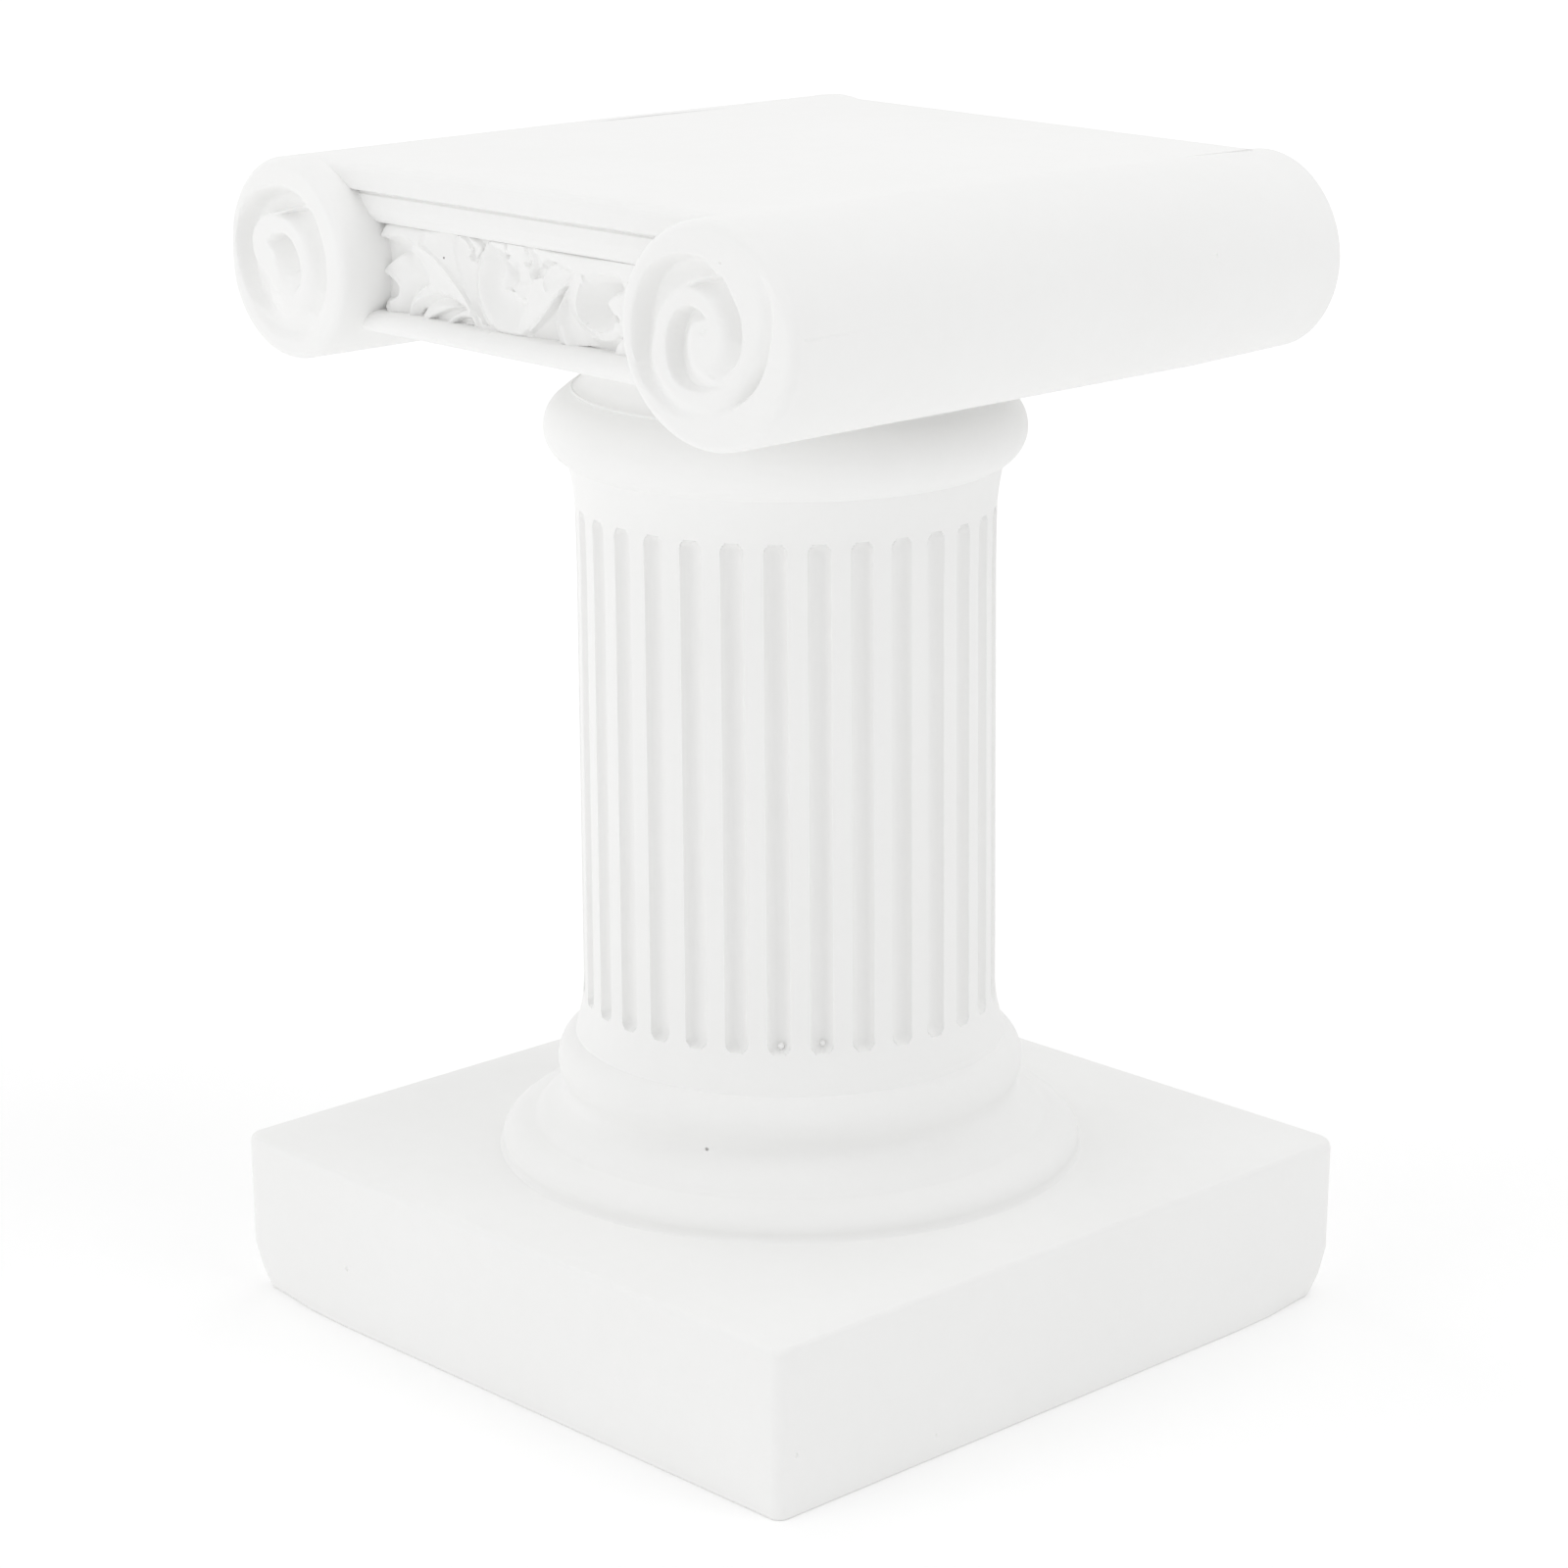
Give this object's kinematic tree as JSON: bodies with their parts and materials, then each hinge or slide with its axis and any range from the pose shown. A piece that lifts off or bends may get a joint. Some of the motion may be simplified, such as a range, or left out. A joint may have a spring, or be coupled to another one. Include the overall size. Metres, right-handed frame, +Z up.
{
  "type": "miniature ionic column stand",
  "caption": "Small one-piece cast column stand: square plinth, fluted shaft, and an Ionic capital with scroll rolls under a flat top.",
  "frame": {"origin": "middle of the plinth's underside", "axes": "+Z up along the shaft; the capital's rolls run along Y, so a volute face and frieze look along -Y and +Y"},
  "size_m": [0.081, 0.081, 0.12],
  "materials": {
    "plaster": "matt white cast plaster"
  },
  "bodies": {
    "root": {"roman_column": "plaster"}
  },
  "joints": []
}
